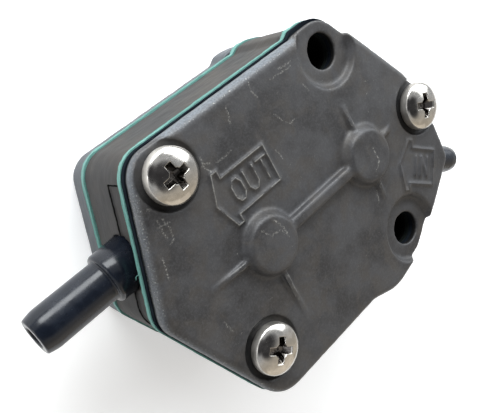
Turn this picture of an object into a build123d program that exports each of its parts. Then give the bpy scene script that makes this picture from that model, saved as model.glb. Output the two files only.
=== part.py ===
from build123d import *
import math
import os

# Pulse-driven diaphragm fuel pump for an outboard motor.
# Millimetres. Origin on the diaphragm axis at the rear mounting face, +Z towards the front cover,
# +X along the row of the two round cover bosses, away from the outlet nozzle.

os.makedirs("parts", exist_ok=True)

# ---------------------------------------------------------------- layers, rear to front
rear_plate_t = 5.4
diaphragm_t = 0.4
gasket_t = 1.0
body_t = 14.2
membrane_t = 1.0
cover_t = 3.0

z_diaphragm = rear_plate_t
z_rear_gasket = z_diaphragm + diaphragm_t
z_body = z_rear_gasket + gasket_t
z_front_gasket = z_body + body_t
z_membrane = z_front_gasket + gasket_t
z_cover = z_membrane + membrane_t
z_face = z_cover + cover_t

# ---------------------------------------------------------------- outlines, as (x, y, corner radius)
# The castings were drawn one by one: top edge, upper lug and lower left wall differ a little between them.
lug_line_foot = (37.0, 0.6)
lug_line_lean = 0.648
lug_rise_w = 1.6
lug_rise_r = 1.4
top_left = (-28.1, 5.5)
right_corners = [(37.0, 0.6, 3.5), (37.0, -2.6, 2.5), (35.0, -5.2, 2.0), (35.0, -14.1, 3.0)]
bottom_corners = [(18.1, -26.0, 8.0), (7.5, -28.05, 10.0), (1.3, -25.8, 8.0)]
wide_left = {"left": (-37.8, 0.8, 5.0), "low_x": -26.5}
narrow_left = {"left": (-37.3, 0.6, 5.0), "low_x": -25.2}
cover_form = {"top_y": 26.4, "rise_x": 11.3, "lug_y": 27.3, "lug_r": 6.1, **wide_left}
gasket_form = {"top_y": 26.4, "rise_x": 11.3, "lug_y": 27.3, "lug_r": 8.0, **wide_left}
body_form = {"top_y": 26.4, "rise_x": 10.6, "lug_y": 27.2, "lug_r": 12.0, **narrow_left}
plate_form = {"top_y": 26.1, "rise_x": 8.3, "lug_y": 27.25, "lug_r": 16.5, **narrow_left}
low_left_y = -25.8
low_left_r = 6.5
gasket_proud = 0.2
edge_round = 1.5
edge_break = 0.35
rear_edge_round = 1.2

# ---------------------------------------------------------------- holes
screw_at = {"upper": (-23.4, 20.75), "lower": (-23.45, -15.75), "end": (31.5, 0.25)}
mount_at = [(16.4, 21.2), (16.9, -19.8)]
screw_hole_r = 2.65
tapped_r = 2.52
tapped_floor_z = 1.0
mount_hole_r = 3.3
sheet_mount_hole_r = 3.7

# ---------------------------------------------------------------- cover details
recess_depth = 0.8
recess_r = 5.7
land_depth = 1.5
land_floor_r = 6.3
land_rim_r = 7.05
boss_x = 13.78
boss_top_r = 4.9
boss_base_r = 6.05
boss_h = 2.0
boss_side_r = 5.25
boss_side_h = 1.5
boss_edge_r = 0.27
rib_w = 2.4
rib_h = 1.5
rib_edge_r = 0.7
rooted = 0.2
fin_w = 1.0
fin_h = 1.2
fin_end_h = 0.05
fin_inside = 1.5
fins = [
    {"from_boss": -1, "at": (-4.9, 0.4), "turn": 180, "length": 9.4},
    {"from_boss": -1, "at": (-0.5, -4.9), "turn": -90, "length": 11.6},
    {"from_boss": 1, "at": (0.1, 4.9), "turn": 90, "length": 6.2},
    {"from_boss": 1, "at": (4.9, 0.7), "turn": 0, "length": 4.2},
    {"from_boss": 1, "at": (0.1, -4.9), "turn": -90, "length": 5.2},
]
lug_trim_r = 7.05
land_trim = 0.5
end_trim = 0.6
raised_h = 0.3
bead_root = 0.1
raised_w = 0.45
arrow_w = 7.15
arrow_neck = 1.2
arrow_wing = 1.45
arrow_nose = 1.9
letter_h = 3.9
flow_marks = [
    {
        "at": (-10.85, 11.5), "turn": 0, "length": 10.3,
        "word": "OUT", "word_x": 0.2, "letter_w": 2.2, "pitch": 3.25,
    },
    {
        "at": (26.25, -10.9), "turn": -37, "length": 6.9,
        "word": "IN", "word_x": -0.6, "letter_w": 1.9, "pitch": 2.4,
    },
]

# ---------------------------------------------------------------- screws and washers
head_r = 4.72
head_edge = 0.15
head_side_h = 1.75
head_h = 2.9
head_fullness = 0.6
cross_floor = {"depth": 1.7, "length": 2.6, "width": 0.8}
cross_mouth = {"over": 0.1, "length": 5.4, "width": 1.35}
cross_core = {"depth": 1.9, "point_r": 0.3, "mouth_r": 1.5}
shank_r = 2.48
screw_tip_z = 1.5
screw_turn = {"upper": 8, "lower": 52, "end": 65}
washer_t = 0.55
washer_r = 4.2
washer_gap = 0.7
washer_turn = 70

# ---------------------------------------------------------------- chambers
chamber_r = 19.5
chamber_depth = 4.5
pulse_floor_t = 2.2
pulse_port_r = 1.5
pulse_port_y = -10.0
pulse_seal_r = 3.18
pulse_seal_wire = 0.6
pulse_groove = {"inner": 2.5, "outer": 3.85, "depth": 1.25}
pocket_r = 9.5
web_t = 2.2
z_web = z_body + chamber_depth
z_pocket = z_web + web_t
strip_floor_z = 16.3
strip_depth = 0.35
strip_top_y = 22.7
strip_bottom_y = -18.0
strip_right_x = -24.0
air_pocket_depth = 1.2

# ---------------------------------------------------------------- nozzles
nozzle_z = 15.0
outlet = {"end": (-38.0, 9.9), "turn": 180.0, "barrel_len": 14.4, "barrel_r": 3.75}
inlet = {"end": (34.97, -14.84), "turn": -33.0, "barrel_len": 12.8, "barrel_r": 3.2}
tip_shrink = 0.35
tip_taper = 2.2
tip_chamfer = 0.4
neck_len = 0.8
neck_extra_r = 0.3
shoulder_r = 4.65
shoulder_round = 0.6
shoulder_len = 7.4
shank_nozzle_r = 3.8
shank_nozzle_len = 4.0
nozzle_bore_r = 2.0
passage_len = 9.0
nozzle_fit = 0.02
seal_wire_r = 0.45
seal_middle = 1.9
seal_half_groove = 0.5

# ---------------------------------------------------------------- valves and diaphragm core
seat_r = 4.5
port_r = 0.8
port_circle_r = 2.6
pin_r = 0.8
disc_r = 3.8
disc_t = 0.6
disc_fit = 0.05
valve_spring_h = 1.6
valve_spring_r = 1.35
valve_wire_r = 0.12
pin_head_r = 1.8
pin_head_t = 0.5
core_plate_r = 12.0
core_plate_t = 0.8
rivet_r = 1.5
rivet_head_r = 2.6
rivet_head_t = 0.7
spring_r = 5.0
spring_wire_r = 0.45
spring_turns = 3


def rounded_outline(corners):
    """Face inside a closed outline whose corners are rounded to their own radii."""
    count = len(corners)
    arcs = []
    for i in range(count):
        here = Vector(corners[i][0], corners[i][1])
        radius = corners[i][2]
        back = (Vector(*corners[i - 1][:2]) - here).normalized()
        ahead = (Vector(*corners[(i + 1) % count][:2]) - here).normalized()
        half = math.acos(back.dot(ahead)) / 2
        reach = radius / math.tan(half)
        middle = (back + ahead).normalized() * (radius / math.sin(half) - radius)
        arcs.append((here + back * reach, here + middle, here + ahead * reach))
    edges = []
    for i in range(count):
        start, middle, end = arcs[i]
        edges.append(ThreePointArc(start, middle, end))
        edges.append(Line(end, arcs[(i + 1) % count][0]))
    return make_face(edges)


def slab(face, z, height):
    """Straight block of the face, from z upwards."""
    return Pos(0, 0, z) * extrude(face, height)


def rod(x, y, z, radius, height):
    """Upright cylinder standing on z."""
    return Pos(x, y, z) * Cylinder(radius, height, align=(Align.CENTER, Align.CENTER, Align.MIN))


def turned(profile):
    """Solid of revolution about Z of a closed (radius, height) profile."""
    face = Plane.XZ * make_face(Polyline(*profile, close=True))
    return revolve(face, Axis.Z)


def ring(radius, wire_radius, z):
    """Round-section ring lying flat at height z."""
    return Pos(0, 0, z) * Torus(radius, wire_radius)


def coil(radius, wire_radius, height, turns):
    """Open coil spring from z = 0 to height, its wire wholly inside that span."""
    path = Helix(pitch=(height - 2 * wire_radius) / turns, height=height - 2 * wire_radius, radius=radius)
    section = Plane(path @ 0, z_dir=path % 0) * Circle(wire_radius)
    return Pos(0, 0, wire_radius) * sweep(section, path=path)


def drill(shape, points, radius):
    """The shape with a through hole at each point."""
    for x, y in points:
        shape -= rod(x, y, -1, radius, z_face + 5)
    return shape


def save(shape, node):
    """One STEP file per node."""
    export_step(shape, f"parts/{node}.step")


def layer_outline(form):
    """Outline of one layer from its own top edge, upper lug and lower left wall."""
    lug_x = lug_line_foot[0] - lug_line_lean * (form["lug_y"] - lug_line_foot[1])
    corners = [
        (top_left[0], form["top_y"], top_left[1]),
        (form["rise_x"], form["top_y"], lug_rise_r),
        (form["rise_x"] + lug_rise_w, form["lug_y"], lug_rise_r),
        (lug_x, form["lug_y"], form["lug_r"]),
    ]
    corners += right_corners + bottom_corners
    corners += [(form["low_x"], low_left_y, low_left_r), form["left"]]
    return rounded_outline(corners)


cover_outline = layer_outline(cover_form)
body_outline = layer_outline(body_form)
plate_outline = layer_outline(plate_form)
front_gasket_outline = offset(layer_outline(gasket_form), gasket_proud, kind=Kind.ARC)
rear_gasket_outline = offset(body_outline, gasket_proud, kind=Kind.ARC)
screws = list(screw_at.values())


# ---------------------------------------------------------------- rear plate and pulse port seal
def build_rear_plate():
    plate = slab(plate_outline, 0, rear_plate_t)
    rear_edge = plate.edges().group_by(Axis.Z)[0]
    plate = fillet(rear_edge, rear_edge_round)
    plate -= rod(0, 0, pulse_floor_t, chamber_r, rear_plate_t)
    plate = drill(plate, mount_at, mount_hole_r)
    for x, y in screws:
        plate -= rod(x, y, tapped_floor_z, tapped_r, rear_plate_t)
    plate -= rod(0, pulse_port_y, -1, pulse_port_r, rear_plate_t)
    groove_h = 1 + pulse_groove["depth"]
    groove = rod(0, pulse_port_y, -1, pulse_groove["outer"], groove_h)
    groove -= rod(0, pulse_port_y, -1, pulse_groove["inner"], groove_h)
    return plate - groove


save(build_rear_plate(), "rear_plate")
seal_z = pulse_groove["depth"] / 2
save(Pos(0, pulse_port_y, 0) * ring(pulse_seal_r, pulse_seal_wire, seal_z), "pulse_port_seal")


# ---------------------------------------------------------------- flat sheets between the castings
def build_sheet(face, z, thickness, window=None):
    sheet = slab(face, z, thickness)
    sheet = drill(sheet, screws, screw_hole_r)
    sheet = drill(sheet, mount_at, sheet_mount_hole_r)
    if window is not None:
        sheet -= window
    return sheet


valve_window = rod(-boss_x, 0, z_front_gasket, pocket_r, gasket_t) + rod(
    boss_x, 0, z_front_gasket, pocket_r, gasket_t
)
rivet_window = rod(0, 0, 0, rivet_r, z_body)
chamber_window = rod(0, 0, 0, chamber_r, z_body)
save(build_sheet(body_outline, z_diaphragm, diaphragm_t, rivet_window), "pump_diaphragm")
save(build_sheet(rear_gasket_outline, z_rear_gasket, gasket_t, chamber_window), "rear_gasket")
save(build_sheet(front_gasket_outline, z_front_gasket, gasket_t, valve_window), "front_gasket")
save(build_sheet(cover_outline, z_membrane, membrane_t), "damper_membrane")


# ---------------------------------------------------------------- nozzles, along +X from the shoulder end
def nozzle_place(nozzle):
    return Pos(*nozzle["end"], nozzle_z) * Rot(0, 0, nozzle["turn"])


def along_x(profile):
    """Solid of revolution about X of a closed (distance, radius) profile."""
    face = make_face(Polyline(*profile, close=True))
    return revolve(face, Axis.X)


def nozzle_hole():
    """Stepped hole in the body that takes the shoulder and the shank, with the passage beyond."""
    inner = -shoulder_len - shank_nozzle_len
    return along_x(
        [
            (inner - passage_len, 0),
            (inner - passage_len, nozzle_bore_r),
            (inner, nozzle_bore_r),
            (inner, shank_nozzle_r + nozzle_fit),
            (-shoulder_len, shank_nozzle_r + nozzle_fit),
            (-shoulder_len, shoulder_r + nozzle_fit),
            (shoulder_len, shoulder_r + nozzle_fit),
            (shoulder_len, 0),
        ]
    )


def quarter_round(x, radius, size):
    """Points of a rounded outer corner that ends at (x, radius - size)."""
    points = []
    for i in range(5):
        angle = math.radians(90 * i / 4)
        points.append((x - size + size * math.sin(angle), radius - size + size * math.cos(angle)))
    return points


def build_nozzle(nozzle):
    barrel_r = nozzle["barrel_r"]
    barrel_len = nozzle["barrel_len"]
    tip_r = barrel_r - tip_shrink
    inner = -shoulder_len - shank_nozzle_len
    seal_x = -shoulder_len - seal_middle
    groove_r = shank_nozzle_r - 2 * seal_wire_r - nozzle_fit
    profile = [
        (inner, nozzle_bore_r),
        (inner, shank_nozzle_r),
        (seal_x - seal_half_groove, shank_nozzle_r),
        (seal_x - seal_half_groove, groove_r),
        (seal_x + seal_half_groove, groove_r),
        (seal_x + seal_half_groove, shank_nozzle_r),
        (-shoulder_len, shank_nozzle_r),
        (-shoulder_len, shoulder_r),
    ]
    profile += quarter_round(0, shoulder_r, shoulder_round)
    profile += [
        (0, barrel_r + neck_extra_r),
        (neck_len, barrel_r),
        (barrel_len - tip_taper, barrel_r),
        (barrel_len - tip_chamfer, tip_r),
        (barrel_len, tip_r - tip_chamfer),
        (barrel_len, nozzle_bore_r),
    ]
    return nozzle_place(nozzle) * along_x(profile)


def build_nozzle_seal(nozzle):
    seal = Rot(0, 90, 0) * Torus(shank_nozzle_r - seal_wire_r, seal_wire_r)
    return nozzle_place(nozzle) * Pos(-shoulder_len - seal_middle, 0, 0) * seal


# ---------------------------------------------------------------- body
def build_body():
    body = slab(body_outline, z_body, body_t)
    body -= rod(0, 0, z_body, chamber_r, chamber_depth)
    for side in (-1, 1):
        body -= rod(side * boss_x, 0, z_pocket, pocket_r, body_t)
        body -= rod(side * boss_x, 0, z_web - 1, seat_r, web_t + 2)
    body -= side_strip()
    body = drill(body, mount_at, mount_hole_r)
    body = drill(body, screws, screw_hole_r)
    for nozzle in (outlet, inlet):
        body -= nozzle_place(nozzle) * nozzle_hole()
    return body


def side_strip():
    """Thin skin taken off the upper part of the left walls."""
    skin = slab(body_outline, strip_floor_z, body_t)
    skin -= slab(offset(body_outline, -strip_depth, kind=Kind.ARC), strip_floor_z, body_t)
    zone_size = (2 * abs(strip_right_x), strip_top_y - strip_bottom_y, body_t)
    zone = Pos(strip_right_x, strip_bottom_y, strip_floor_z) * Box(
        *zone_size, align=(Align.MAX, Align.MIN, Align.MIN)
    )
    return skin & zone


save(build_body(), "pump_body")
save(build_nozzle(outlet), "outlet_nozzle")
save(build_nozzle(inlet), "inlet_nozzle")
save(build_nozzle_seal(outlet), "outlet_nozzle_seal")
save(build_nozzle_seal(inlet), "inlet_nozzle_seal")


# ---------------------------------------------------------------- check valves
def build_valve(prefix, x, seat_z, up):
    """Seat, disc, pin and spring; the disc lies on the seat face that looks towards up (+1 or -1)."""
    seat = rod(0, 0, 0, seat_r, web_t) - rod(0, 0, 0, pin_r, web_t)
    for i in range(6):
        angle = math.radians(60 * i)
        seat -= rod(port_circle_r * math.cos(angle), port_circle_r * math.sin(angle), 0, port_r, web_t)
    disc = rod(0, 0, web_t, disc_r, disc_t) - rod(0, 0, web_t, pin_r + disc_fit, disc_t)
    head_z = web_t + disc_t + valve_spring_h
    pin = rod(0, 0, 0, pin_r, head_z) + rod(0, 0, head_z, pin_head_r, pin_head_t)
    spring = Pos(0, 0, web_t + disc_t) * coil(valve_spring_r, valve_wire_r, valve_spring_h, 3)
    place = Pos(x, 0, seat_z)
    if up < 0:
        place = Pos(x, 0, seat_z + web_t) * Rot(180, 0, 0)
    save(place * seat, prefix + "_valve_seat")
    save(place * disc, prefix + "_valve_disc")
    save(place * pin, prefix + "_valve_pin")
    save(place * spring, prefix + "_valve_spring")


build_valve("outlet", -boss_x, z_web, 1)
build_valve("inlet", boss_x, z_web, -1)

# ---------------------------------------------------------------- diaphragm core
front_plate_z = z_diaphragm + diaphragm_t
rear_plate_z = z_diaphragm - core_plate_t
rivet_hole = rod(0, 0, 0, rivet_r, z_body + 2)
save(rod(0, 0, rear_plate_z, core_plate_r, core_plate_t) - rivet_hole, "diaphragm_plate_rear")
save(rod(0, 0, front_plate_z, core_plate_r, core_plate_t) - rivet_hole, "diaphragm_plate_front")
rivet_foot_z = rear_plate_z - rivet_head_t
rivet_len = 2 * core_plate_t + diaphragm_t + 2 * rivet_head_t
rivet = rod(0, 0, rivet_foot_z, rivet_r, rivet_len)
rivet += rod(0, 0, rivet_foot_z, rivet_head_r, rivet_head_t)
rivet += rod(0, 0, front_plate_z + core_plate_t, rivet_head_r, rivet_head_t)
save(rivet, "diaphragm_rivet")
spring_z = front_plate_z + core_plate_t
save(Pos(0, 0, spring_z) * coil(spring_r, spring_wire_r, z_web - spring_z, spring_turns), "diaphragm_spring")


# ---------------------------------------------------------------- front cover
def raised_line(start, end):
    """Thin rounded bead standing on the cover face between two points."""
    a = Vector(*start)
    b = Vector(*end)
    turn = math.degrees(math.atan2(b.Y - a.Y, b.X - a.X))
    strip = Rot(0, 0, turn) * SlotCenterToCenter((b - a).length, raised_w)
    middle = (a + b) * 0.5
    return Pos(middle.X, middle.Y, z_face - bead_root) * extrude(strip, bead_root + raised_h)


def raised_path(points, place):
    """Bead along the points, each moved by place."""
    beads = None
    moved = [(place * Pos(x, y, 0)).position for x, y in points]
    for a, b in zip(moved, moved[1:]):
        if (b - a).length > 0.01:
            bead = raised_line((a.X, a.Y), (b.X, b.Y))
            beads = bead if beads is None else beads + bead
    return beads


def arrow_points(length):
    """Closed outline of a blunt arrow that points along -X, centred on its box."""
    box_x = length / 2
    box_y = arrow_w / 2
    wing_y = box_y + arrow_wing
    neck_x = -box_x - arrow_neck
    nose_x = neck_x - arrow_nose
    return [
        (nose_x, 0),
        (neck_x, wing_y),
        (-box_x, wing_y),
        (-box_x, box_y),
        (box_x, box_y),
        (box_x, -box_y),
        (-box_x, -box_y),
        (-box_x, -wing_y),
        (neck_x, -wing_y),
        (nose_x, 0),
    ]


def letter_strokes(word, height, width, pitch):
    """Strokes of plain block letters, centred on the origin."""
    shapes = {
        "O": [[(0.3, 0), (0.7, 0), (1, 0.25), (1, 0.75), (0.7, 1), (0.3, 1), (0, 0.75), (0, 0.25), (0.3, 0)]],
        "U": [[(0, 1), (0, 0.25), (0.3, 0), (0.7, 0), (1, 0.25), (1, 1)]],
        "T": [[(0, 1), (1, 1)], [(0.5, 0.93), (0.5, 0)]],
        "I": [[(0.5, 1), (0.5, 0)]],
        "N": [[(0, 0), (0, 1), (1, 0), (1, 1)]],
    }
    total = width + (len(word) - 1) * pitch
    strokes = []
    for i, letter in enumerate(word):
        left = -total / 2 + i * pitch
        for stroke in shapes[letter]:
            strokes.append([(left + u * width, (v - 0.5) * height) for u, v in stroke])
    return strokes


def build_boss(x):
    """Round boss with a rolled top edge and sloping side."""
    profile = [
        (0, z_face - rooted),
        (boss_base_r + rooted / 2, z_face - rooted),
        (boss_base_r, z_face),
        (boss_side_r, z_face + boss_side_h),
        (boss_top_r, z_face + boss_h),
        (0, z_face + boss_h),
    ]
    boss = turned(profile)
    top = boss.edges().filter_by(GeomType.CIRCLE).group_by(Axis.Z)[-1]
    return Pos(x, 0, 0) * fillet(top, boss_edge_r)


def build_fin(start, turn, length):
    """Gusset that runs out from a boss and falls away to nothing."""
    side = make_face(
        Polyline(
            (-fin_inside, -rooted), (length, -rooted), (length, fin_end_h), (-fin_inside, fin_h), close=True
        )
    )
    fin = extrude(Plane.XZ * side, fin_w / 2, both=True)
    return Pos(start[0], start[1], z_face) * Rot(0, 0, turn) * fin


def build_rib():
    """Straight rib between the two bosses, with rounded upper edges."""
    rib = Pos(0, 0, z_face - rooted) * Box(
        2 * boss_x, rib_w, rib_h + rooted, align=(Align.CENTER, Align.CENTER, Align.MIN)
    )
    upper = rib.edges().filter_by(Axis.X).group_by(Axis.Z)[-1]
    return fillet(upper, rib_edge_r)


def build_flow_mark(mark):
    """Raised arrow outline with its word inside."""
    place = Pos(*mark["at"], 0) * Rot(0, 0, mark["turn"])
    beads = raised_path(arrow_points(mark["length"]), place)
    for stroke in letter_strokes(mark["word"], letter_h, mark["letter_w"], mark["pitch"]):
        beads += raised_path(stroke, place * Pos(mark["word_x"], 0, 0))
    return beads


def lug_rim(x, y, depth):
    """Outer skin of the cover near a land or an open recess."""
    rim = slab(cover_outline, z_cover, cover_t)
    rim -= slab(offset(cover_outline, -depth, kind=Kind.ARC), z_cover, cover_t)
    return rim & rod(x, y, z_cover, lug_trim_r, cover_t)


def build_cover():
    cover = slab(cover_outline, z_cover, cover_t)
    cover = fillet(cover.edges().group_by(Axis.Z)[-1], edge_round)
    cover = chamfer(cover.edges().group_by(Axis.Z)[0], edge_break)
    cover += build_rib()
    for side in (-1, 1):
        cover += build_boss(side * boss_x)
    for fin in fins:
        start = (fin["from_boss"] * boss_x + fin["at"][0], fin["at"][1])
        cover += build_fin(start, fin["turn"], fin["length"])
    for mark in flow_marks:
        cover += build_flow_mark(mark)
    for x, y in mount_at:
        cover -= lug_rim(x, y, land_trim)
        cover -= Pos(x, y, z_face - land_depth) * Cone(
            land_floor_r, land_rim_r, land_depth, align=(Align.CENTER, Align.CENTER, Align.MIN)
        )
        cover -= rod(x, y, z_face - bead_root, land_rim_r, boss_h)
    cover -= lug_rim(*screw_at["end"], end_trim)
    for x, y in screws:
        cover -= rod(x, y, z_face - recess_depth, recess_r, boss_h + 1)
    cover = drill(cover, screws, screw_hole_r)
    cover = drill(cover, mount_at, mount_hole_r)
    for side in (-1, 1):
        cover -= rod(side * boss_x, 0, z_cover, pocket_r, air_pocket_depth)
    return cover


save(build_cover(), "front_cover")


# ---------------------------------------------------------------- screws and lock washers
def build_screw(x, y, turn):
    base_z = z_face - recess_depth + washer_t
    profile = [(0, 0), (head_r - head_edge, 0), (head_r, head_edge), (head_r, head_side_h)]
    for i in range(1, 9):
        angle = math.radians(90 * i / 8)
        reach = head_r * math.cos(angle) ** head_fullness if i < 8 else 0
        profile.append((reach, head_side_h + (head_h - head_side_h) * math.sin(angle)))
    head = turned(profile)
    arms = None
    for step in (0, 90):
        lower = Rot(0, 0, step) * Rectangle(cross_floor["length"], cross_floor["width"])
        upper = Rot(0, 0, step) * Rectangle(cross_mouth["length"], cross_mouth["width"])
        low = Pos(0, 0, head_h - cross_floor["depth"])
        high = Pos(0, 0, head_h + cross_mouth["over"])
        arm = loft([low * lower, high * upper])
        arms = arm if arms is None else arms + arm
    core = Pos(0, 0, head_h - cross_core["depth"]) * Cone(
        cross_core["point_r"], cross_core["mouth_r"], cross_core["depth"] + cross_mouth["over"],
        align=(Align.CENTER, Align.CENTER, Align.MIN),
    )
    head -= Rot(0, 0, turn) * (arms + core)
    shank = rod(0, 0, screw_tip_z - base_z, shank_r, base_z - screw_tip_z)
    return Pos(x, y, base_z) * (head + shank)


def build_washer(x, y, turn):
    """Thin split lock washer under a screw head."""
    washer = rod(0, 0, 0, washer_r, washer_t) - rod(0, 0, 0, screw_hole_r, washer_t)
    split = Box(washer_r + 1, washer_gap, 3 * washer_t, align=(Align.MIN, Align.CENTER, Align.CENTER))
    washer -= Rot(0, 0, turn) * split
    return Pos(x, y, z_face - recess_depth) * washer


for name, (x, y) in screw_at.items():
    save(build_screw(x, y, screw_turn[name]), f"cover_screw_{name}")
    save(build_washer(x, y, screw_turn[name] + washer_turn), f"lock_washer_{name}")
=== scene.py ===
import math

import bmesh
import bpy
import numpy as np
from mathutils import Matrix, Vector, noise


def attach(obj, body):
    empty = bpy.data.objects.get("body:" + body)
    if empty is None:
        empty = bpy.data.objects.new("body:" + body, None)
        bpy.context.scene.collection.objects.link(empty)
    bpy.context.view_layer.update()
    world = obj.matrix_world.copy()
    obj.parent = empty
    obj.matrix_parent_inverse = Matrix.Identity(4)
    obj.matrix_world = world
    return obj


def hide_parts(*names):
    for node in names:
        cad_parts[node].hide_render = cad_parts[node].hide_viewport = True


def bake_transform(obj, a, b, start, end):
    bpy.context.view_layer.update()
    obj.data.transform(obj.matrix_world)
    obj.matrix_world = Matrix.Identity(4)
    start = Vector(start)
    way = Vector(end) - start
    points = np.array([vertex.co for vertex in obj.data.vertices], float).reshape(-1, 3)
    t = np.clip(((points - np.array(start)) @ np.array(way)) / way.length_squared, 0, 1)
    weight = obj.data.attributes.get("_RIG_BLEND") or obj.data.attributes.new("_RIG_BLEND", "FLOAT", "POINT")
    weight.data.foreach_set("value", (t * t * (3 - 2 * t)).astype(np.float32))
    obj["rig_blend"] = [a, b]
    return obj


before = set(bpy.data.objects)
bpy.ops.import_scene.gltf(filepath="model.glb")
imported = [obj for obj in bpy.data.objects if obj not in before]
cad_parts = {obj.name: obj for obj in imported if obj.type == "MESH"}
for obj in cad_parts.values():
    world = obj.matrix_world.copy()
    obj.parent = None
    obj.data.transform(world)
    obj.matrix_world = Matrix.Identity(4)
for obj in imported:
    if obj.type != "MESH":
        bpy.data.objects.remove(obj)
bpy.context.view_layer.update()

MM = 0.001
HOUSING = "housing"

# ---------------------------------------------------------------- shared sizes, in millimetres
face_z = 26.0
screw_at = {"upper": (-23.4, 20.75), "lower": (-23.45, -15.75), "end": (31.5, 0.25)}
screw_turn = {"upper": 8, "lower": 52, "end": 65}
mount_at = [(16.4, 21.2), (16.9, -19.8)]
boss_x = 13.78
head_base_z = 25.75
head_r = 4.72
head_side_h = 1.75
head_h = 2.9
crown_r = head_r - 0.1
crown_low = head_side_h - 0.1
recess_r = 5.7
land_r = 7.05
shank_r = 2.48
shank_tip_z = 1.5


# ---------------------------------------------------------------- shader nodes
class Look:
    """A material with one Principled shader, and short calls for the nodes that drive it."""

    def __init__(self, name, metallic=0.0, roughness=0.5, specular=0.5):
        self.material = bpy.data.materials.new(name)
        self.material.use_nodes = True
        self.nodes = self.material.node_tree.nodes
        self.links = self.material.node_tree.links
        self.shader = self.nodes["Principled BSDF"]
        self.set("Metallic", metallic)
        self.set("Roughness", roughness)
        self.set("Specular IOR Level", specular)
        place = self.nodes.new("ShaderNodeTexCoord")
        self.place = self.vector("SCALE", place.outputs["Object"], scale=1 / MM)

    def set(self, socket, value):
        """A plain value, or another node's output, on one of the shader's sockets."""
        self.feed(self.shader.inputs[socket], value)

    def feed(self, socket, value):
        if isinstance(value, bpy.types.NodeSocket):
            self.links.new(value, socket)
        elif isinstance(value, tuple) and len(value) == 3 and socket.type == "RGBA":
            socket.default_value = (*value, 1)
        else:
            socket.default_value = value

    def vector(self, operation, a, b=None, scale=None, output="Vector"):
        node = self.nodes.new("ShaderNodeVectorMath")
        node.operation = operation
        self.feed(node.inputs[0], a)
        if b is not None:
            self.feed(node.inputs[1], b)
        if scale is not None:
            self.feed(node.inputs["Scale"], scale)
        return node.outputs[output]

    def noise(self, per_mm, detail=3.0, rough=0.55, warp=0.0, stretch=(1, 1, 1), output="Fac"):
        """Soft noise from 0 to 1, per_mm features to the millimetre."""
        spread = self.nodes.new("ShaderNodeMapping")
        spread.inputs["Scale"].default_value = [per_mm * s for s in stretch]
        self.links.new(self.place, spread.inputs["Vector"])
        node = self.nodes.new("ShaderNodeTexNoise")
        self.links.new(spread.outputs[0], node.inputs["Vector"])
        node.inputs["Scale"].default_value = 1
        node.inputs["Detail"].default_value = detail
        node.inputs["Roughness"].default_value = rough
        node.inputs["Distortion"].default_value = warp
        return node.outputs[output]

    def sums(self, operation, a, b=0.0, clamp=False):
        node = self.nodes.new("ShaderNodeMath")
        node.operation = operation
        node.use_clamp = clamp
        self.feed(node.inputs[0], a)
        self.feed(node.inputs[1], b)
        return node.outputs[0]

    def span(self, value, low, high, out_low=0.0, out_high=1.0):
        """value taken from low..high to out_low..out_high, smoothly, and held outside."""
        node = self.nodes.new("ShaderNodeMapRange")
        node.interpolation_type = "SMOOTHSTEP"
        self.feed(node.inputs["Value"], value)
        node.inputs["From Min"].default_value = low
        node.inputs["From Max"].default_value = high
        node.inputs["To Min"].default_value = out_low
        node.inputs["To Max"].default_value = out_high
        return node.outputs["Result"]

    def mix(self, share, a, b):
        node = self.nodes.new("ShaderNodeMix")
        node.data_type = "RGBA"
        self.feed(node.inputs["Factor"], share)
        self.feed(node.inputs["A"], a)
        self.feed(node.inputs["B"], b)
        return node.outputs["Result"]

    def attribute(self, name):
        node = self.nodes.new("ShaderNodeAttribute")
        node.attribute_name = name
        return node.outputs["Fac"]

    def part_of_place(self, axis):
        node = self.nodes.new("ShaderNodeSeparateXYZ")
        self.links.new(self.place, node.inputs[0])
        return node.outputs[axis]

    def wavering_place(self, per_mm, reach_mm):
        """Position pushed about by soft noise, so that lines drawn in it waver."""
        push = self.vector("SUBTRACT", self.noise(per_mm, detail=2, output="Color"), (0.5, 0.5, 0.5))
        return self.vector("ADD", self.place, self.vector("SCALE", push, scale=2 * reach_mm))

    def nearest_line(self, place, paths):
        """Distance in millimetres from place to the nearest of the paths."""
        nearest = None
        for path in paths:
            for start, end in zip(path, path[1:]):
                a = Vector(start)
                along = Vector(end) - a
                length = along.length
                away = self.vector("SUBTRACT", place, tuple(a))
                reach = self.vector("DOT_PRODUCT", away, tuple(along / length), output="Value")
                held = self.sums("MINIMUM", self.sums("MAXIMUM", reach, 0.0), length)
                foot = self.vector("SCALE", tuple(along / length), scale=held)
                gap = self.vector("LENGTH", self.vector("SUBTRACT", away, foot), output="Value")
                nearest = gap if nearest is None else self.sums("MINIMUM", nearest, gap)
        return nearest

    def bump(self, height, depth_mm, strength=1.0):
        """Surface relief from a height of 0 to 1."""
        node = self.nodes.new("ShaderNodeBump")
        node.inputs["Strength"].default_value = strength
        node.inputs["Distance"].default_value = depth_mm * MM
        self.links.new(height, node.inputs["Height"])
        self.set("Normal", node.outputs[0])


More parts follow.
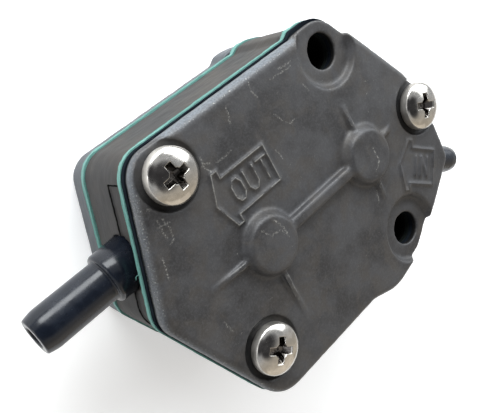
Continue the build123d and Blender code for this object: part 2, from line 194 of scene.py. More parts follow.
# ---------------------------------------------------------------- materials
# Meshes carry values that the materials read: "edge" for worn edges, "rim" for the cover's rim, bare metal
# with a painted bluish highlight that is stronger on its top side, a darkness value for a dark joint and
# painted shade in recesses, bores, creases and under edges, and "side" for the duller side of a screw head.
# Elsewhere they read 0.
face_scratches = [
    [(-8.4, 24.1), (-8.6, 23.0), (-8.9, 22.3), (-9.1, 21.2)],
    [(-2.1, 25.1), (-2.5, 23.8), (-2.3, 22.9), (-2.1, 22.1)],
    [(-0.5, 17.9), (0.1, 16.9), (0.7, 15.8), (1.5, 14.7), (2.8, 14.9)],
    [(2.0, 23.3), (3.6, 23.2), (5.5, 23.0), (7.1, 23.0)],
    [(4.5, 23.9), (5.9, 23.7), (7.8, 23.6)],
    [(-3.6, 12.6), (-3.3, 11.5), (-3.1, 10.6)],
    [(-14.9, 17.6), (-13.3, 17.5), (-11.6, 17.6)],
    [(-17.1, 20.1), (-17.3, 19.1), (-17.3, 18.1), (-16.7, 16.9)],
    [(-17.9, 18.5), (-17.0, 18.6), (-16.2, 18.3)],
    [(-29.2, 16.3), (-29.0, 15.2), (-29.3, 14.0), (-29.2, 12.6)],
    [(-28.1, 15.8), (-28.0, 14.2), (-28.3, 12.1), (-29.4, 11.7)],
    [(-29.6, 15.2), (-27.4, 14.7)],
    [(-29.4, 18.7), (-29.4, 18.0)],
    [(-29.6, 18.4), (-28.7, 18.2)],
    [(8.0, 19.0), (8.2, 18.0), (8.6, 17.4)],
    [(-31.7, 10.9), (-32.0, 9.2), (-32.7, 7.3)],
    [(-28.6, -5.1), (-28.4, -6.6), (-28.1, -7.6)],
    [(12.9, -7.5), (12.1, -9.8)],
]
boss_scratches = [
    [(-15.0, 3.8), (-13.8, 1.8), (-11.8, 1.6), (-10.8, -0.5)],
    [(-12.0, 3.7), (-11.1, 2.3), (-10.8, 0.0)],
    [(14.7, 1.0), (15.0, -1.9), (12.9, -3.2)],
]

# Edge of the thin strip sunk into the body's left walls: down at its upper end, then along its floor.
# The body's material paints the step's shadow along it.
strip_z = 16.3
strip_floor = [(-29.35, 22.7), (-36.6, 2.5), (-36.85, 0.5), (-36.4, -1.3), (-28.75, -18.0)]
strip_edge = [[(-29.35, 22.7, 21.0)] + [(x, y, strip_z) for x, y in strip_floor]]


def at_height(paths, z):
    """Flat paths lifted to height z."""
    return [[(x, y, z) for x, y in path] for path in paths]


def cover_material():
    look = Look("cover_casting", metallic=0.25, roughness=0.5, specular=0.55)
    patches = look.noise(0.13, detail=4)
    warmth = look.noise(0.21, detail=3, warp=0.6)
    grain = look.noise(2.6, detail=4, rough=0.65)
    pits = look.noise(6.0, detail=2)
    shade = look.mix(look.span(patches, 0.36, 0.64), (0.030, 0.029, 0.030), (0.057, 0.057, 0.060))
    shade = look.mix(look.span(warmth, 0.45, 0.66, 0, 0.6), shade, (0.060, 0.053, 0.046))
    shade = look.mix(look.span(grain, 0.4, 0.75, 0, 0.3), shade, (0.11, 0.112, 0.115))
    # Rim: bare metal, with a painted bluish highlight laid over it, brighter where the mesh marks the lit
    # top side.
    rim = look.sums("MULTIPLY", look.attribute("rim"), look.span(grain, 0.3, 0.65, 0.35, 0.9))
    shade = look.mix(look.sums("MULTIPLY", rim, 0.8), shade, (0.19, 0.22, 0.25))
    # Painted shade: near black where the mesh's darkness value is high (screw recesses, bores, lowest edge,
    # bead feet).
    shade = look.mix(look.attribute("dirt_and_shade"), shade, (0.012, 0.012, 0.012))
    broken = look.noise(1.7, detail=5, rough=0.7)
    edge = look.sums("ADD", look.attribute("edge"), look.sums("MULTIPLY", broken, 0.12))
    worn = look.span(edge, 0.115, 0.22)
    fine = look.nearest_line(look.wavering_place(1.1, 0.35), at_height(face_scratches, face_z))
    high = look.nearest_line(look.wavering_place(1.3, 0.4), at_height(boss_scratches, face_z + 2))
    line = look.sums("MAXIMUM", look.span(fine, 0.26, 0.04), look.span(high, 0.26, 0.04))
    crumbs = look.noise(3.2, detail=4, rough=0.7)
    line = look.sums("MULTIPLY", line, look.span(crumbs, 0.44, 0.62))
    rubs = look.noise(1.0, detail=6, rough=0.7, warp=1.6, stretch=(1.0, 2.2, 1.0))
    clusters = look.noise(0.16, detail=3, warp=0.5)
    specks = look.sums("MULTIPLY", look.span(rubs, 0.635, 0.70), look.span(clusters, 0.53, 0.62))
    # Painted glints: bright crumbs in a narrow band along the rim, on its worn metal.
    glint_band = look.span(look.sums("ABSOLUTE", look.sums("SUBTRACT", look.attribute("rim"), 0.3)), 0.26, 0.1)
    rim_glints = look.sums("MULTIPLY", look.span(crumbs, 0.56, 0.70), glint_band)
    bare = look.sums("MAXIMUM", look.sums("MULTIPLY", worn, 0.5), look.sums("MULTIPLY", line, 0.4))
    bare = look.sums("MAXIMUM", bare, look.sums("MULTIPLY", specks, 0.42))
    bare = look.sums("MAXIMUM", bare, look.sums("MULTIPLY", rim_glints, 0.6))
    look.set("Base Color", look.mix(bare, shade, (0.50, 0.49, 0.45)))
    look.set("Specular IOR Level", look.span(look.attribute("dirt_and_shade"), 0.1, 0.95, 0.55, 0.0))
    look.set("Roughness", look.span(patches, 0.3, 0.7, 0.46, 0.56))
    relief = look.sums("ADD", grain, look.sums("MULTIPLY", pits, 0.6))
    look.bump(relief, 0.055, 0.55)
    return look.material


def casting(name, dark, light, roughness, metallic, bare, shadow_lines=()):
    """Plain cast metal with worn edges, a painted shadow along the given lines, and darker where the mesh
    says so.
    """
    look = Look(name, metallic=metallic, roughness=roughness, specular=0.35)
    patches = look.noise(0.12, detail=4)
    grain = look.noise(2.4, detail=4, rough=0.65)
    streaks = look.noise(0.5, detail=4, rough=0.6, stretch=(0.25, 0.25, 3.0))
    shade = look.mix(look.span(patches, 0.35, 0.68), dark, light)
    shade = look.mix(look.span(streaks, 0.55, 0.8, 0, 0.25), shade, bare)
    edge = look.sums("ADD", look.attribute("edge"), look.sums("MULTIPLY", grain, 0.1))
    shade = look.mix(look.span(edge, 0.12, 0.24, 0, 0.6), shade, bare)
    # Painted shade where the mesh's darkness value says so.
    dirt_and_shade = look.attribute("dirt_and_shade")
    if shadow_lines:
        # Painted shadow: a dark, wavering line along each given line.
        shadow_line_gap = look.nearest_line(look.wavering_place(0.9, 0.12), shadow_lines)
        dirt_and_shade = look.sums("MAXIMUM", dirt_and_shade, look.span(shadow_line_gap, 0.33, 0.1))
    look.set("Base Color", look.mix(dirt_and_shade, shade, (0.004, 0.004, 0.004)))
    look.set("Specular IOR Level", look.span(dirt_and_shade, 0.1, 0.95, 0.35, 0.0))
    look.set("Roughness", look.span(streaks, 0.3, 0.7, roughness - 0.06, roughness + 0.06))
    look.bump(grain, 0.05, 0.5)
    return look.material


def steel(name, colour, roughness):
    look = Look(name, metallic=1.0, roughness=roughness)
    smears = look.noise(0.55, detail=4, rough=0.6)
    lines = look.noise(1.5, detail=3, stretch=(0.4, 6.0, 1.0))
    darker = tuple(0.78 * c for c in colour)
    shade = look.mix(look.span(smears, 0.35, 0.7), darker, colour)
    # Painted shade where the mesh's darkness value says so (the cross recess).
    look.set("Base Color", look.mix(look.attribute("dirt_and_shade"), shade, (0.13, 0.12, 0.11)))
    spread = look.sums("ADD", look.span(smears, 0.3, 0.7, -0.03, 0.05), look.span(lines, 0.55, 0.7, 0, 0.05))
    side = look.sums("MULTIPLY", look.attribute("side"), 0.3)
    look.set("Roughness", look.sums("ADD", look.sums("ADD", spread, roughness), side))
    look.bump(look.noise(0.9, detail=3), 0.012, 0.4)
    return look.material


def gasket_material():
    look = Look("gasket_green", roughness=0.62, specular=0.35)
    fibres = look.noise(3.0, detail=4, rough=0.7, stretch=(1, 1, 2.2))
    stains = look.noise(0.3, detail=3)
    shade = look.mix(look.span(fibres, 0.3, 0.72), (0.095, 0.245, 0.215), (0.15, 0.32, 0.285))
    shade = look.mix(look.span(stains, 0.55, 0.75, 0, 0.35), shade, (0.09, 0.2, 0.19))
    # Painted shade round the mount holes, from the mesh's darkness value.
    shade = look.mix(look.attribute("dirt_and_shade"), shade, (0.006, 0.009, 0.008))
    look.set("Base Color", shade)
    look.set("Roughness", look.span(fibres, 0.3, 0.7, 0.55, 0.7))
    look.bump(fibres, 0.05, 0.6)
    return look.material


def polymer(name, dark, light, roughness, specular=0.5):
    """Moulded rubber or plastic with a faint orange-peel skin."""
    look = Look(name, roughness=roughness, specular=specular)
    clouds = look.noise(0.35, detail=3)
    dust = look.noise(3.5, detail=4, rough=0.7)
    shade = look.mix(look.span(clouds, 0.35, 0.7), dark, light)
    look.set("Base Color", look.mix(look.span(dust, 0.62, 0.8, 0, 0.2), shade, (0.06, 0.06, 0.06)))
    look.set("Roughness", look.span(clouds, 0.3, 0.7, roughness - 0.04, roughness + 0.06))
    look.bump(look.noise(1.1, detail=3), 0.03, 0.35)
    return look.material


cover_look = cover_material()
body_look = casting(
    "body_casting", (0.021, 0.020, 0.020), (0.036, 0.031, 0.026), 0.62, 0.0, (0.13, 0.13, 0.13), strip_edge
)
rear_look = casting(
    "rear_casting", (0.068, 0.076, 0.084), (0.092, 0.101, 0.111), 0.5, 0.2, (0.35, 0.35, 0.35)
)
green_look = gasket_material()
black_look = polymer("membrane_black", (0.008, 0.010, 0.014), (0.014, 0.018, 0.023), 0.7, specular=0.0)
seal_look = polymer("seal_rubber", (0.012, 0.012, 0.012), (0.022, 0.022, 0.022), 0.55)
nozzle_look = polymer("nozzle_plastic", (0.005, 0.007, 0.012), (0.009, 0.012, 0.019), 0.22, specular=0.4)
disc_look = polymer("valve_plastic", (0.03, 0.03, 0.03), (0.05, 0.05, 0.05), 0.5)
steel_look = steel("screw_steel", (0.56, 0.535, 0.495), 0.15)
core_look = steel("core_steel", (0.55, 0.55, 0.55), 0.3)
brass_look = steel("valve_brass", (0.72, 0.52, 0.24), 0.3)

looks = {
    "front_cover": cover_look,
    "pump_body": body_look,
    "rear_plate": rear_look,
    "front_gasket": green_look,
    "rear_gasket": green_look,
    "damper_membrane": black_look,
    "pump_diaphragm": black_look,
    "outlet_nozzle": nozzle_look,
    "inlet_nozzle": nozzle_look,
    "outlet_valve_disc": disc_look,
    "inlet_valve_disc": disc_look,
    "outlet_valve_seat": brass_look,
    "inlet_valve_seat": brass_look,
    "outlet_valve_pin": brass_look,
    "inlet_valve_pin": brass_look,
}


def look_of(node):
    if node in looks:
        return looks[node]
    if node.endswith("_seal"):
        return seal_look
    if node.startswith(("cover_screw", "lock_washer")):
        return steel_look
    return core_look


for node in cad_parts:
    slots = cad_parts[node].data.materials
    slots.clear()
    slots.append(look_of(node))


# ---------------------------------------------------------------- making pieces
def add_piece(name, mesh, node):
    """Put a finished mesh, in metres, in place of a node of the housing."""
    piece = bpy.data.objects.new(name, mesh)
    bpy.context.collection.objects.link(piece)
    mesh.materials.clear()
    mesh.materials.append(look_of(node))
    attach(piece, HOUSING)
    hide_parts(node)


def node_mesh_mm(node):
    """Copy of a node's mesh in millimetres, its split corners joined again."""
    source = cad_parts[node]
    mesh = source.data.copy()
    mesh.transform(Matrix.Scale(1 / MM, 4) @ source.matrix_world)
    shape = bmesh.new()
    shape.from_mesh(mesh)
    bmesh.ops.remove_doubles(shape, verts=shape.verts, dist=0.002)
    shape.to_mesh(mesh)
    shape.free()
    return mesh


def even_mesh(mesh, size):
    """The same solid in even small faces."""
    rough = bpy.data.objects.new("rough", mesh)
    bpy.context.collection.objects.link(rough)
    grid = rough.modifiers.new("grid", "REMESH")
    grid.mode = "VOXEL"
    grid.voxel_size = size
    ready = rough.evaluated_get(bpy.context.evaluated_depsgraph_get())
    even = bpy.data.meshes.new_from_object(ready)
    bpy.data.objects.remove(rough)
    return even


def read(mesh):
    spots = np.empty(len(mesh.vertices) * 3)
    mesh.vertices.foreach_get("co", spots)
    ends = np.empty(len(mesh.edges) * 2, dtype=np.int64)
    mesh.edges.foreach_get("vertices", ends)
    return spots.reshape(-1, 3), ends.reshape(-1, 2)


def neighbour_mean(values, ends):
    """Mean of each vertex's neighbours, for one value or several per vertex."""
    count = np.bincount(ends.ravel(), minlength=len(values))
    columns = values.reshape(len(values), -1)
    means = np.empty_like(columns)
    for i in range(columns.shape[1]):
        total = np.bincount(ends[:, 0], columns[ends[:, 1], i], len(values))
        total += np.bincount(ends[:, 1], columns[ends[:, 0], i], len(values))
        means[:, i] = total / np.maximum(count, 1)
    return means.reshape(values.shape)


def soften(spots, ends, rounds, share):
    for _ in range(rounds):
        spots = spots + share * (neighbour_mean(spots, ends) - spots)
    return spots


def write_value(mesh, name, values):
    mesh.attributes.new(name, "FLOAT", "POINT").data.foreach_set("value", values)


def cast_mesh(node, size, rounds, waviness, softness=None):
    """A node in millimetres with rounded, slightly uneven cast surfaces and an edge value for wear."""
    mesh = even_mesh(node_mesh_mm(node), size)
    spots, ends = read(mesh)
    spots = soften(spots, ends, rounds, 0.5)
    if softness is not None:
        spots = soften(spots, ends, 8, softness(spots)[:, None])
    mesh.vertices.foreach_set("co", spots.ravel())
    mesh.update()
    normals = np.empty(len(spots) * 3)
    mesh.vertices.foreach_get("normal", normals)
    normals = normals.reshape(-1, 3)
    lean = ((spots - neighbour_mean(spots, ends)) * normals).sum(axis=1) / size
    for _ in range(2):
        lean = 0.5 * lean + 0.5 * neighbour_mean(lean, ends)
    wave = np.array([noise.noise(Vector(p) * 0.55) for p in spots])
    spots = spots + normals * (waviness * (wave - 1))[:, None]
    mesh.vertices.foreach_set("co", spots.ravel())
    write_value(mesh, "edge", lean)
    return mesh, spots


def cast_piece(node, mesh):
    mesh.transform(Matrix.Scale(MM, 4))
    mesh.shade_smooth()
    mesh.update()
    add_piece(node + "_cast", mesh, node)


def near(spots, centres, inner, outer):
    """1 within inner of any centre, falling to 0 at outer."""
    share = np.zeros(len(spots))
    for x, y in centres:
        away = np.hypot(spots[:, 0] - x, spots[:, 1] - y)
        share = np.maximum(share, np.clip((outer - away) / (outer - inner), 0, 1))
    return share


def ramp(values, low, high):
    """0 up to low, rising to 1 at high; low may be the larger."""
    return np.clip((values - low) / (high - low), 0, 1)


def cover_softness(spots):
    """Bosses and lands run softly into the face; the words, arrows and fins stay crisper."""
    bosses = near(spots, [(-boss_x, 0), (boss_x, 0)], 5.6, 6.9)
    lands = near(spots, mount_at, land_r + 0.25, land_r + 1.95)
    walls = near(spots, screw_at.values(), recess_r + 0.2, recess_r + 1.1)
    recesses = walls * (1 - near(spots, screw_at.values(), 4.6, 5.2))
    return 0.45 * np.maximum(np.maximum(bosses, lands), recesses)


# ---------------------------------------------------------------- raised words and arrows
def bead(shape, start, end, crest):
    """Rounded ridge on the cover face from start to end, in millimetres."""
    a = Vector((*start, face_z))
    b = Vector((*end, face_z))
    along = (b - a).normalized()
    across = along.cross(Vector((0, 0, 1)))
    section = [(-0.30, -0.15), (-0.22, 0.10), (-0.10, 0.25), (0.10, 0.25), (0.22, 0.10), (0.30, -0.15)]
    stations = [(a - along * 0.22, 0.5, 0.3), (a - along * 0.1, 0.9, 0.85), (a, 1, 1)]
    stations += [(b, 1, 1), (b + along * 0.1, 0.9, 0.85), (b + along * 0.22, 0.5, 0.3)]
    wear = shape.verts.layers.float["edge"]
    dirt_and_shade = shape.verts.layers.float["dirt_and_shade"]
    rows = []
    for spot, wide, tall in stations:
        row = []
        for side, up in section:
            v = shape.verts.new(spot + across * side * wide + Vector((0, 0, up * tall if up > 0 else up)))
            v[wear] = crest if up > 0.15 else 0.0
            # Painted shade along the foot of the ridge.
            v[dirt_and_shade] = 0.0 if up > 0.15 else 0.55
            row.append(v)
        rows.append(row)
    for here, there in zip(rows, rows[1:]):
        for k in range(len(section)):
            j = (k + 1) % len(section)
            shape.faces.new((here[k], here[j], there[j], there[k]))
    shape.faces.new(rows[0])
    shape.faces.new(rows[-1][::-1])


def arrow_path(length):
    """Blunt arrow that points along -X, centred on its box."""
    box_x = length / 2
    neck_x = -box_x - 1.2
    nose_x = neck_x - 1.9
    upper = [(nose_x, 0), (neck_x, 5.03), (-box_x, 5.03), (-box_x, 3.58), (box_x, 3.58), (box_x, 0)]
    lower = [(x, -y) for x, y in reversed(upper)]
    return upper + lower


letters = {
    "O": [[(0.3, 0), (0.7, 0), (1, 0.25), (1, 0.75), (0.7, 1), (0.3, 1), (0, 0.75), (0, 0.25), (0.3, 0)]],
    "U": [[(0, 1), (0, 0.25), (0.3, 0), (0.7, 0), (1, 0.25), (1, 1)]],
    "T": [[(0, 1), (1, 1)], [(0.5, 0.95), (0.5, 0)]],
    "I": [[(0.5, 1), (0.5, 0)]],
    "N": [[(0, 0), (0, 1), (1, 0), (1, 1)]],
}


def flow_mark(shape, at, turn, length, word, word_x, letter_w, pitch, crest):
    """Arrow outline with plain block letters inside."""
    place = Matrix.Translation((*at, 0)) @ Matrix.Rotation(math.radians(turn), 4, "Z")
    paths = [arrow_path(length)]
    left = word_x - (letter_w + (len(word) - 1) * pitch) / 2
    for i, letter in enumerate(word):
        for stroke in letters[letter]:
            paths.append([(left + i * pitch + u * letter_w, (v - 0.5) * 3.9) for u, v in stroke])
    for path in paths:
        spots = [(place @ Vector((x, y, 0))).xy for x, y in path]
        for a, b in zip(spots, spots[1:]):
            if (b - a).length > 0.01:
                bead(shape, a, b, crest)


cover, spots = cast_mesh("front_cover", 0.25, 1, 0.04, cover_softness)
# Painted shade on the mesh: near-black recess floors with a painted shadow on their lower-left sides,
# painted shade inside the mount bores, and a dark joint with painted shadow along the cover's lowest edge.
recesses = near(spots, screw_at.values(), recess_r - 0.15, recess_r + 0.35) * ramp(spots[:, 2], 25.95, 25.6)
bores = near(spots, mount_at, 3.5, 3.9) * ramp(spots[:, 2], 24.4, 23.9)
lands = near(spots, mount_at, land_r - 0.05, land_r + 0.55)
joint_and_shadow = 0.92 * ramp(spots[:, 2], 24.15, 23.75)
shadow_side = np.zeros(len(spots))
for name, (x, y) in screw_at.items():
    if name == "upper":
        shadow = (0.45 * (x - spots[:, 0]) + 0.85 * (y - spots[:, 1])) / 5
    else:
        shadow = 1.5 * (x - spots[:, 0] + 1) / 5
    shadow_side = np.maximum(shadow_side, np.clip(shadow, 0, 1) * near(spots, [(x, y)], 6.5, 7.0))
write_value(cover, "dirt_and_shade", np.maximum(np.maximum(recesses * (0.08 + 0.6 * shadow_side), bores), joint_and_shadow))
# Rim value: bare metal at the edge, with a painted highlight that grows towards the lit top side.
lit_top_highlight = 0.42 + 0.58 * ramp(spots[:, 1], 21.5, 25.0)
outside = (1 - lands) * (1 - near(spots, screw_at.values(), recess_r, recess_r + 0.6))
write_value(cover, "rim", ramp(spots[:, 2], 25.9, 25.2) * outside * lit_top_highlight)
shape = bmesh.new()
shape.from_mesh(cover)
flow_mark(shape, (-10.85, 11.5), 0, 10.3, "OUT", 0.2, 2.2, 3.25, 0.105)
flow_mark(shape, (26.25, -10.9), -37, 6.9, "IN", -0.6, 1.9, 2.4, 0.05)
shape.to_mesh(cover)
shape.free()
cast_piece("front_cover", cover)

body, spots = cast_mesh("pump_body", 0.27, 1, 0.05)
# Painted shade in and round the mount bores.
write_value(body, "dirt_and_shade", near(spots, mount_at, 3.6, 4.0))
cast_piece("pump_body", body)

rear, spots = cast_mesh("rear_plate", 0.36, 3, 0.06)
# Painted shade in and round the mount bores.
write_value(rear, "dirt_and_shade", near(spots, mount_at, 3.6, 4.0))
cast_piece("rear_plate", rear)


# ---------------------------------------------------------------- cut sheet edges
def cut_sheet(node, unevenness, short=0.0, burr=()):
    """A flat sheet whose cut edges are slightly uneven.

    It may be cut short at the lower left corner, and may keep a thread left by the cutter.
    """
    mesh = node_mesh_mm(node)
    shape = bmesh.new()
    shape.from_mesh(mesh)
    for _ in range(7):
        long = [
            e for e in shape.edges
            if e.calc_length() > 0.9
            and abs(e.verts[0].co.z - e.verts[1].co.z) < 0.01
            and any(abs(f.normal.z) < 0.5 for f in e.link_faces)
        ]
        if not long:
            break
        bmesh.ops.subdivide_edges(shape, edges=long, cuts=1)
    bmesh.ops.triangulate(shape, faces=shape.faces)
    shape.normal_update()
    for v in shape.verts:
        away = Vector((0, 0, 0))
        for f in v.link_faces:
            if abs(f.normal.z) < 0.5:
                away += f.normal
        if away.length > 0:
            push = unevenness * (noise.noise(v.co * 0.8) + 0.6 * noise.noise(v.co * 2.3))
            if v.co.x < -12 and v.co.y < -8:
                push -= short
            v.co += away.normalized() * push
        v.co *= MM
    if burr:
        rows = []
        for k, spot in enumerate(burr):
            reach = 0.16 * (1 - 0.6 * k / (len(burr) - 1))
            corners = [(reach, 0, reach), (-reach, 0, reach), (-reach, 0, -reach), (reach, 0, -reach)]
            rows.append([shape.verts.new((Vector(spot) + Vector(c)) * MM) for c in corners])
        for here, there in zip(rows, rows[1:]):
            for k in range(4):
                j = (k + 1) % 4
                shape.faces.new((here[k], here[j], there[j], there[k]))
        shape.faces.new(rows[0])
        shape.faces.new(rows[-1][::-1])
        bmesh.ops.recalc_face_normals(shape, faces=shape.faces)
    shape.to_mesh(mesh)
    shape.free()
    spots, ends = read(mesh)
    # Painted shade round the mount holes.
    write_value(mesh, "dirt_and_shade", near(spots / MM, mount_at, 3.9, 4.3))
    add_piece(node + "_cut", mesh, node)


thread = [(-34.3, 9.2, 21.5), (-34.9, 9.4, 21.3), (-35.3, 9.2, 21.0), (-35.5, 8.7, 20.8)]
cut_sheet("front_gasket", 0.11, burr=thread)
cut_sheet("rear_gasket", 0.11, short=0.9)


# ---------------------------------------------------------------- turned pieces
def lathe(rows, steps, height=None):
    """Closed mesh about Z from (radius, height) rows; height(x, y, z) may lower a point."""
    points = []
    faces = []
    for r, z in rows:
        for k in range(steps):
            angle = 2 * math.pi * k / steps
            x = r * math.cos(angle)
            y = r * math.sin(angle)
            points.append((x, y, z if height is None else height(x, y, z)))
    for i in range(len(rows) - 1):
        for k in range(steps):
            j = (k + 1) % steps
            faces.append((i * steps + k, (i + 1) * steps + k, (i + 1) * steps + j, i * steps + j))
    return points, faces


def finished(name, points, faces, place):
    """Mesh in metres from millimetre points; rows that shrink to a point are joined."""
    mesh = bpy.data.meshes.new(name)
    mesh.from_pydata([place @ Vector(p) for p in points], [], faces)
    shape = bmesh.new()
    shape.from_mesh(mesh)
    bmesh.ops.remove_doubles(shape, verts=shape.verts, dist=1e-5)
    bmesh.ops.dissolve_degenerate(shape, edges=shape.edges, dist=1e-6)
    bmesh.ops.recalc_face_normals(shape, faces=shape.faces)
    shape.to_mesh(mesh)
    shape.free()
    mesh.transform(Matrix.Scale(MM, 4))
    mesh.shade_smooth()
    return mesh


def cross_floor(x, y):
    """Height of the cross recess over the head's underside, or well above where there is none."""
    arms = max(
        min((2.7 - abs(x)) / 1.3, (0.70 - abs(y)) / 0.26),
        min((2.7 - abs(y)) / 1.3, (0.70 - abs(x)) / 0.26),
    )
    arms = min(arms, 1.0)
    middle = min((1.45 - math.hypot(x, y)) / 1.1, 1.0)
    floor = 99.0
    if arms > 0:
        floor = head_h + 0.1 - 1.75 * arms
    if middle > 0:
        floor = min(floor, head_h + 0.1 - 1.95 * middle)
    return floor


def dome(r):
    """Height of the head's rounded top at radius r."""
    share = min(r / crown_r, 1.0)
    return crown_low + (head_h - crown_low) * (1 - share**2.4) ** 0.7


def screw(name, x, y, turn):
    """Pan-head screw with a cross recess, from the middle of its crown out and down to the tip."""
    fine_r = 3.04
    radii = [0.04 * i for i in range(76)]
    radii += [fine_r + (crown_r - fine_r) * (i / 40) ** 0.6 for i in range(1, 41)]
    rows = [(r, dome(r)) for r in radii]
    for i in range(1, 9):
        share = i / 8
        rows.append((head_r - (head_r - crown_r) * (1 - share) ** 2, crown_low * (1 - 0.8 * share)))
    rows += [(head_r - 0.02, 0.2), (head_r - 0.2, 0.0)]
    rows += [(shank_r, 0.0), (shank_r, shank_tip_z - head_base_z), (0, shank_tip_z - head_base_z)]

    def lowered(px, py, pz):
        return min(pz, cross_floor(px, py)) if pz > 0.6 else pz

    points, faces = lathe(rows, 220, lowered)
    place = Matrix.Translation((x, y, head_base_z)) @ Matrix.Rotation(math.radians(turn), 4, "Z")
    mesh = finished(name, points, faces, place)
    spots, ends = read(mesh)
    spots = spots / MM
    away = np.hypot(spots[:, 0] - x, spots[:, 1] - y)
    top = head_base_z + np.array([dome(r) for r in away])
    # Painted shade on the floor of the cross recess.
    recessed = ramp(top - spots[:, 2], 0.12, 0.35) * (away < 3) * (spots[:, 2] > head_base_z)
    write_value(mesh, "dirt_and_shade", recessed)
    side = ramp(spots[:, 2] - head_base_z, head_side_h + 0.15, head_side_h - 0.15) * ramp(away, 4.0, 4.4)
    write_value(mesh, "side", side)
    add_piece(name + "_turned", mesh, name)


for name, (x, y) in screw_at.items():
    screw("cover_screw_" + name, x, y, screw_turn[name])


def nozzle(node, end, turn, barrel_len, barrel_r):
    """Hose nozzle about its own axis, from the shank end to the tip and back down the bore."""
    bore_r = 2.0
    shank_end = -11.4
    shoulder_r = 4.65
    corner_r = 0.55
    corner_start = -0.45
    tip_r = barrel_r - 0.35
    rows = [(bore_r, shank_end), (3.8, shank_end), (3.8, -7.4), (4.78, -7.4), (shoulder_r, corner_start)]
    for i in range(1, 9):
        angle = math.radians(90 * i / 8)
        reach = shoulder_r - corner_r + corner_r * math.cos(angle)
        rows.append((reach, corner_start + 0.7 * math.sin(angle)))
    rows += [(barrel_r + 0.12, 0.34), (barrel_r + 0.03, 0.5), (barrel_r, 0.8), (barrel_r, barrel_len - 2.4)]
    for i in range(1, 7):
        share = i / 6
        rows.append((barrel_r + (tip_r - barrel_r) * share**1.5, barrel_len - 2.4 + 2.0 * share))
    for i in range(1, 5):
        angle = math.radians(90 * i / 4)
        rows.append((tip_r - 0.4 + 0.4 * math.cos(angle), barrel_len - 0.4 + 0.4 * math.sin(angle)))
    rows += [(bore_r + 0.2, barrel_len), (bore_r, barrel_len - 0.2), (bore_r, shank_end)]
    points, faces = lathe(rows, 96)
    place = Matrix.Translation((*end, 15.0)) @ Matrix.Rotation(math.radians(turn), 4, "Z")
    place = place @ Matrix.Rotation(math.radians(90), 4, "Y")
    mesh = finished(node, points, faces, place)
    add_piece(node + "_moulded", mesh, node)


nozzle("outlet_nozzle", (-38.0, 9.9), 180, 14.4, 3.75)
nozzle("inlet_nozzle", (34.97, -14.84), -33, 12.8, 3.2)


# ---------------------------------------------------------------- springs that shorten
def coil(node, body, held_z, moving_z):
    """A spring with one end held by the housing while the other follows a moving body."""
    mesh = node_mesh_mm(node)
    mesh.transform(Matrix.Scale(MM, 4))
    piece = bpy.data.objects.new(node + "_coil", mesh)
    bpy.context.collection.objects.link(piece)
    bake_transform(piece, HOUSING, body, start=(0, 0, held_z * MM), end=(0, 0, moving_z * MM))
    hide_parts(node)


coil("diaphragm_spring", "diaphragm_core", 11.3, 6.6)
coil("outlet_valve_spring", "outlet_disc", 15.7, 14.1)
coil("inlet_valve_spring", "inlet_disc", 9.1, 10.7)


# ---------------------------------------------------------------- diaphragm that flexes
clamp_r = 19.3
plate_r = 12.4
wedges = 12


def cut_through(shape, angle, keep_left):
    """Cut a shape by an upright plane through the axis, and close the cut."""
    side = Vector((-math.sin(angle), math.cos(angle), 0))
    everything = shape.verts[:] + shape.edges[:] + shape.faces[:]
    cut = bmesh.ops.bisect_plane(
        shape, geom=everything, dist=1e-7, plane_co=(0, 0, 0), plane_no=side,
        clear_inner=keep_left, clear_outer=not keep_left,
    )
    rim = [e for e in cut["geom_cut"] if isinstance(e, bmesh.types.BMEdge) and e.is_boundary]
    bmesh.ops.holes_fill(shape, edges=rim)


def diaphragm_wedge(number):
    """One wedge of the diaphragm, held at its rim and carried by the plates in the middle."""
    mesh = node_mesh_mm("pump_diaphragm")
    mesh.transform(Matrix.Scale(MM, 4))
    shape = bmesh.new()
    shape.from_mesh(mesh)
    half = math.pi / wedges
    middle = 2 * half * number
    cut_through(shape, middle - half, True)
    cut_through(shape, middle + half, False)
    out = Vector((math.cos(middle), math.sin(middle), 0))
    for i in range(9):
        reach = (plate_r + (clamp_r - plate_r) * i / 8) * MM
        everything = shape.verts[:] + shape.edges[:] + shape.faces[:]
        bmesh.ops.bisect_plane(shape, geom=everything, dist=1e-7, plane_co=out * reach, plane_no=out)
    bmesh.ops.triangulate(shape, faces=shape.faces)
    bmesh.ops.recalc_face_normals(shape, faces=shape.faces)
    shape.to_mesh(mesh)
    shape.free()
    piece = bpy.data.objects.new(f"diaphragm_wedge_{number}", mesh)
    bpy.context.collection.objects.link(piece)
    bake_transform(piece, HOUSING, "diaphragm_core", start=out * clamp_r * MM, end=out * plate_r * MM)
    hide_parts("pump_diaphragm")


for number in range(wedges):
    diaphragm_wedge(number)


# ---------------------------------------------------------------- camera, lights and floor
camera_data = bpy.data.cameras.new("camera")
camera_data.sensor_width = 36
camera_data.lens = 49.82
camera_data.clip_start = 0.005
camera_data.clip_end = 10
camera = bpy.data.objects.new("camera", camera_data)
bpy.context.collection.objects.link(camera)
camera_spot = Vector((-0.06419, 0.04945, 0.11711))
camera_right = Vector((0.6802, -0.4605, 0.5703))
camera_back = Vector((-0.4407, 0.3648, 0.8202))
camera_up = camera_back.cross(camera_right)
turn = Matrix((camera_right, camera_up, camera_back)).transposed()
camera.matrix_world = Matrix.LocRotScale(camera_spot, turn.to_quaternion(), None)
bpy.context.scene.camera = camera


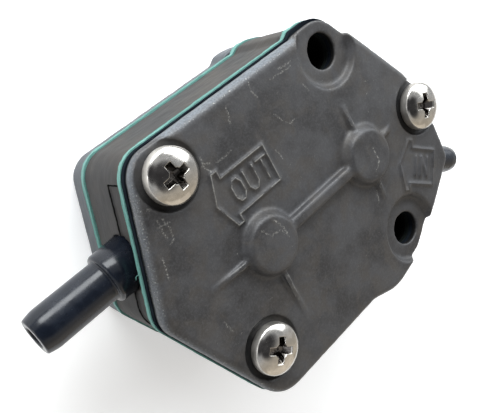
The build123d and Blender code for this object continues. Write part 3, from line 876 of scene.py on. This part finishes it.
def softbox(name, toward, distance, size, power, colour=(1, 1, 1)):
    """Rectangular lamp that looks at the pump from the given direction."""
    data = bpy.data.lights.new(name, "AREA")
    data.shape = "RECTANGLE"
    data.size, data.size_y = size
    data.energy = power
    data.color = colour
    lamp = bpy.data.objects.new(name, data)
    way = Vector(toward).normalized()
    lamp.location = way * distance + Vector((0, 0, 0.02))
    lamp.rotation_mode = "QUATERNION"
    lamp.rotation_quaternion = (-way).to_track_quat("-Z", "Y")
    bpy.context.collection.objects.link(lamp)


softbox("window", (0.27, 0.86, 0.41), 0.9, (0.95, 0.42), 13.0, (0.95, 0.98, 1.0))
softbox("left_card", (-0.85, 0.47, 0.22), 0.8, (0.14, 0.22), 0.7, (0.97, 0.98, 1.0))
softbox("warm_card", (0.02, -0.95, 0.30), 0.9, (0.9, 0.5), 0.5, (1.0, 0.93, 0.84))
softbox("high_card", (0.80, 0.30, 0.52), 0.9, (0.8, 0.6), 5.0, (0.93, 0.97, 1.0))


def studio():
    """Pale surroundings with a warm low side and a darker patch overhead, beside the photographer."""
    world = bpy.data.worlds.new("world")
    bpy.context.scene.world = world
    world.use_nodes = True
    nodes = world.node_tree.nodes
    links = world.node_tree.links
    way = nodes.new("ShaderNodeTexCoord").outputs["Generated"]

    def facing(toward, low, high):
        dot = nodes.new("ShaderNodeVectorMath")
        dot.operation = "DOT_PRODUCT"
        links.new(way, dot.inputs[0])
        dot.inputs[1].default_value = Vector(toward).normalized()
        share = nodes.new("ShaderNodeMapRange")
        share.interpolation_type = "SMOOTHSTEP"
        share.inputs["From Min"].default_value = low
        share.inputs["From Max"].default_value = high
        links.new(dot.outputs["Value"], share.inputs["Value"])
        return share.outputs["Result"]

    def blend(share, a, b):
        node = nodes.new("ShaderNodeMix")
        node.data_type = "RGBA"
        links.new(share, node.inputs["Factor"])
        for socket, value in ((node.inputs["A"], a), (node.inputs["B"], b)):
            if isinstance(value, tuple):
                socket.default_value = (*value, 1)
            else:
                links.new(value, socket)
        return node.outputs["Result"]

    tone = blend(facing((0, -1, 0.15), 0.2, 0.9), (0.62, 0.64, 0.67), (0.70, 0.63, 0.53))
    tone = blend(facing((0.02, -0.05, 1.0), 0.84, 0.95), tone, (0.06, 0.06, 0.065))
    tone = blend(facing((-0.44, 0.36, 0.82), 0.86, 0.96), tone, (0.06, 0.06, 0.065))
    links.new(tone, nodes["Background"].inputs["Color"])
    nodes["Background"].inputs["Strength"].default_value = 1.0


studio()

floor_mesh = bpy.data.meshes.new("floor")
floor_size = 3.0
corners = [(-1, -1), (1, -1), (1, 1), (-1, 1)]
floor_mesh.from_pydata([(x * floor_size, y * floor_size, 0) for x, y in corners], [], [(0, 1, 2, 3)])
floor = bpy.data.objects.new("floor", floor_mesh)
bpy.context.collection.objects.link(floor)
floor_look = Look("floor", roughness=0.8)
paper = floor_look.noise(0.02, detail=3)
floor_look.set("Base Color", floor_look.mix(paper, (0.90, 0.90, 0.90), (0.93, 0.93, 0.93)))
floor_look.set("Emission Color", (1.0, 1.0, 1.0))
floor_look.set("Emission Strength", 0.34)
floor_mesh.materials.append(floor_look.material)

bpy.context.scene.view_settings.view_transform = "Standard"
